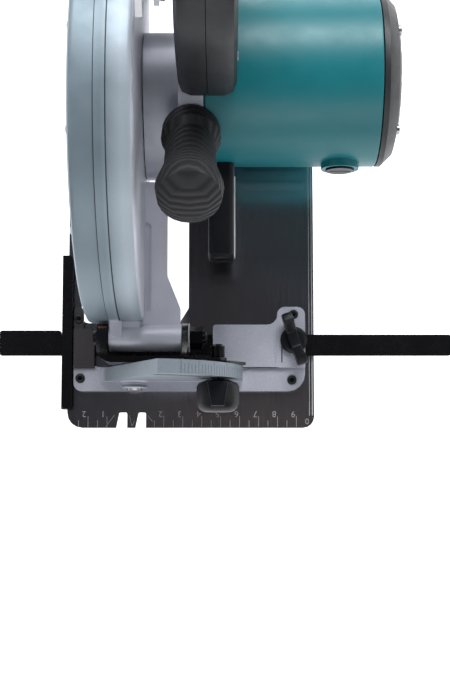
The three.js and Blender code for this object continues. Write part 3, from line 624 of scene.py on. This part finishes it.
piece("hinge_rib", hinge_rib, LOOKS["guard_paint"], "saw", bevel=0.3)


def pivot_rings(work):
    """Turned collars round the bevel pin's head and foot."""
    centre = (BEVEL_AXIS[0], 0, BEVEL_AXIS[1])
    for profile in (
        [(-24.4, 3.9), (-24.4, 5.6), (-24.0, 6.6), (-23.6, 6.6), (-23.6, 3.9), (-24.4, 3.9)],
        [(-22.6, 6.3), (-22.6, 7.3), (-21.4, 7.3), (-20.6, 8.3), (-20.6, 6.3), (-22.6, 6.3)],
    ):
        turned(work, profile, centre, (0, 1, 0), 40)


piece("pivot_rings", pivot_rings, LOOKS["cast_aluminium"], "base")


# ---- fasteners ----
def hex_sockets(work):
    """Painted shade in the sockets of the bracket's screws."""
    rim = ((-0.3, 0), (-0.3, 1.0), (0.05, 1.15), (0.25, 1.6), (0.05, 2.28), (-0.35, 2.28))
    for screw in BRACKET_SCREWS:
        top = mm_box(screw)[1][Z]
        profile = [(top + along, radius) for along, radius in rim]
        turned(work, profile, (*mm_middle(screw, X, Y), 0), (0, 0, 1), 24)


piece("socket_rims", hex_sockets, DARK_SHADE_AND_PRINT, "base")


def thread(work):
    """Rolled thread on the clamp stud's free end."""
    profile = [(-9.6, 0)]
    along = -9.6
    while along < -4.0:
        profile += [(along, 3.15), (along + 0.35, 3.75), (along + 0.5, 3.75), (along + 0.9, 3.15)]
        along += 1.0
    profile += [(-3.1, 2.6), (-3.1, 0)]
    turned(work, profile, (STUD[0], 0, STUD[1]), (0, 1, 0), 32)


piece("stud_thread", thread, LOOKS["yoke_paint"], "bevel_clamp")


def cap_screws(work, places, foot, radius, height):
    """Cap screws along X, standing on foot mm at the (y, z) places."""
    profile = [(foot + along, reach) for along, reach in socket_profile(radius, height)]
    for place in places:
        turned(work, profile, (0, *place), (1, 0, 0), 20)


def end_cover_screws(work):
    """Cap screws that hold the motor's end cover."""
    places = [point_on(MOTOR_AXIS, 34.2, angle) for angle in (62, 150, 245, 335)]
    cap_screws(work, places, mm_box("motor_end_cover")[1][X] - 2.2, 2.6, 2.2)


piece("end_cover_screws", end_cover_screws, LOOKS["zinc_steel"], "saw")


def handle_screws(work):
    """Cap screws that hold the handle's halves together."""
    places = ((121, 112), (135, 158), (196, 150), (217, 104), (219, 56), (186, 50))
    cap_screws(work, places, mm_box("handle_right")[1][X] - 0.9, 2.7, 1.2)


piece("handle_screws", handle_screws, LOOKS["zinc_steel"], "saw")


def ear_pin(work):
    """Small copper-coloured pin across the top of the yoke's left ear."""
    left = mm_box("front_swivel_bracket")[0][X]
    pin = ((0.7, 0), (0.7, 1.0), (1.1, 1.3), (4.6, 1.3), (5.0, 1.0), (5.0, 0))
    turned(work, [(left + along, radius) for along, radius in pin], (0, 4.5, 36.5), (1, 0, 0), 20)


piece("pivot_bush", ear_pin, COPPER_BUSH, "swivel")


def pivot_washer(work):
    """Bright washer between the yoke's right ear and the nut."""
    nut = mm_box("depth_pivot_nut")[0][X]
    ring = ((0.6, 3.4), (0.6, 7.2), (0.45, 7.5), (0.2, 7.5), (0.05, 7.2), (0.05, 3.4), (0.6, 3.4))
    turned(work, [(nut - back, radius) for back, radius in ring], (0, *DEPTH_AXIS), (1, 0, 0), 36)


piece("pivot_washer", pivot_washer, PALE_PART_AND_PAINTED_HIGHLIGHT, "swivel")


def arc_scale(work):
    """Cutting-depth marks on the motor side of the depth arc."""
    face = mm_box("depth_arc")[1][X]
    rim = 191.4
    for step in range(14):
        angle = 4 + step * 3.0
        reach = 3.4 if step % 2 == 0 else 2.2
        outer = [point_on(DEPTH_AXIS, rim, angle + side) for side in (-0.05, 0.05)]
        inner = [point_on(DEPTH_AXIS, rim - reach, angle + side) for side in (0.05, -0.05)]
        prism(work, outer + inner, "x", face - 0.02, face + 0.05)


piece("depth_arc_scale", arc_scale, DARK_SHADE_AND_PRINT, "swivel")


def lamp_strip(work):
    """Painted highlight: a pale strip along the lamp housing's outer side."""
    side = mm_box("light_housing")[1][X]
    outline = [(side - 0.2, 33.5), (side + 0.5, 34.5), (side + 0.5, 39.5), (side - 0.2, 40.5)]
    prism(work, outline, "y", 40.5, 82)


piece("lamp_strip", lamp_strip, PALE_PART_AND_PAINTED_HIGHLIGHT, "saw", bevel=0.15)


def carbide_tips(work):
    """A brazed tip at each tooth."""
    teeth = 24
    tip = ((95.0, -0.05), (93.9, 1.5), (89.5, 1.0), (88.0, -0.3))
    for i in range(teeth):
        start = i * 360 / teeth
        outline = [point_on(ARBOR_AXIS, radius, start + turn) for radius, turn in tip]
        prism(work, outline, "x", -1.15, 1.15)


piece("carbide_tips", carbide_tips, CARBIDE, "spindle_body")

# ---- camera ----
lens = bpy.data.cameras.new("camera")
camera = bpy.data.objects.new("camera", lens)
scene.collection.objects.link(camera)
scene.camera = camera
camera.location = (0.0523, -0.0687, 0.690)
target = Vector((0.0523, 0.0036, 0.0))
camera.rotation_mode = "QUATERNION"
camera.rotation_quaternion = (target - camera.location).to_track_quat("-Z", "Y")
lens.lens = 69.4
lens.sensor_width = 36.0
lens.clip_start, lens.clip_end = 0.01, 60.0

# ---- floor ----
FLOOR_SIZE = 40.0
floor_data = bpy.data.meshes.new("floor")
work = bmesh.new()
bmesh.ops.create_grid(work, x_segments=1, y_segments=1, size=FLOOR_SIZE)
work.to_mesh(floor_data)
work.free()
floor = bpy.data.objects.new("floor", floor_data)
floor.location = (0, 0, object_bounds()[0].z - 0.0005)
scene.collection.objects.link(floor)
paper = Graph("white_floor")
paper.shader.inputs["Base Color"].default_value = (0.95, 0.95, 0.96, 1.0)
paper.shader.inputs["Roughness"].default_value = 0.9
paper.shader.inputs["Emission Color"].default_value = (1.0, 1.0, 1.0, 1.0)
paper.shader.inputs["Emission Strength"].default_value = 0.85
floor_data.materials.append(paper.material)


# ---- light ----
def soft_light(name, place, aim, size, power, colour=(1.0, 1.0, 1.0)):
    """A rectangular lamp, W, aimed at a point, m."""
    data = bpy.data.lights.new(name, "AREA")
    data.shape = "RECTANGLE"
    data.size, data.size_y = size
    data.energy = power
    data.color = colour
    light = bpy.data.objects.new(name, data)
    light.location = place
    light.rotation_mode = "QUATERNION"
    light.rotation_quaternion = (Vector(aim) - Vector(place)).to_track_quat("-Z", "Y")
    scene.collection.objects.link(light)


soft_light("front_bank", (0.1, -1.1, 0.75), (0.03, 0.0, 0.0), (1.4, 0.7), 6.0)
soft_light("left_bank", (-1.0, 0.1, 0.8), (0.0, 0.02, 0.0), (0.7, 1.2), 1.5)
soft_light("right_bank", (1.1, 0.0, 0.7), (0.05, 0.0, 0.0), (0.6, 1.2), 2.5)
soft_light("rear_bank", (0.1, 1.1, 1.0), (0.03, 0.05, 0.0), (1.2, 0.6), 24.0, (0.96, 0.98, 1.0))

# ---- world: darker overhead, so that metal seen from above isn't washed out, and darker to the right ----
world = bpy.data.worlds.new("studio")
scene.world = world
world.use_nodes = True
tree = world.node_tree
background = tree.nodes["Background"]
direction = tree.nodes.new("ShaderNodeTexCoord")
parts = tree.nodes.new("ShaderNodeSeparateXYZ")
ramp = tree.nodes.new("ShaderNodeValToRGB")
tree.links.new(direction.outputs["Generated"], parts.inputs[0])
tree.links.new(parts.outputs["Z"], ramp.inputs["Fac"])
side = tree.nodes.new("ShaderNodeMapRange")
for name, number in (("From Min", -0.3), ("From Max", 0.9), ("To Min", 1.0), ("To Max", 0.35)):
    side.inputs[name].default_value = number
tree.links.new(parts.outputs["X"], side.inputs["Value"])
shade = tree.nodes.new("ShaderNodeVectorMath")
shade.operation = "SCALE"
tree.links.new(ramp.outputs["Color"], shade.inputs[0])
tree.links.new(side.outputs["Result"], shade.inputs["Scale"])
tree.links.new(shade.outputs["Vector"], background.inputs["Color"])
ramp.color_ramp.elements[0].position = 0.0
ramp.color_ramp.elements[0].color = (0.6, 0.6, 0.62, 1.0)
ramp.color_ramp.elements[1].position = 0.98
ramp.color_ramp.elements[1].color = (0.1, 0.1, 0.106, 1.0)
middle = ramp.color_ramp.elements.new(0.7)
middle.color = (0.46, 0.48, 0.52, 1.0)
high = ramp.color_ramp.elements.new(0.9)
high.color = (0.17, 0.18, 0.2, 1.0)
background.inputs["Strength"].default_value = 0.65

scene.view_settings.view_transform = "Standard"
scene.view_settings.look = "None"
scene.view_settings.exposure = 0.0
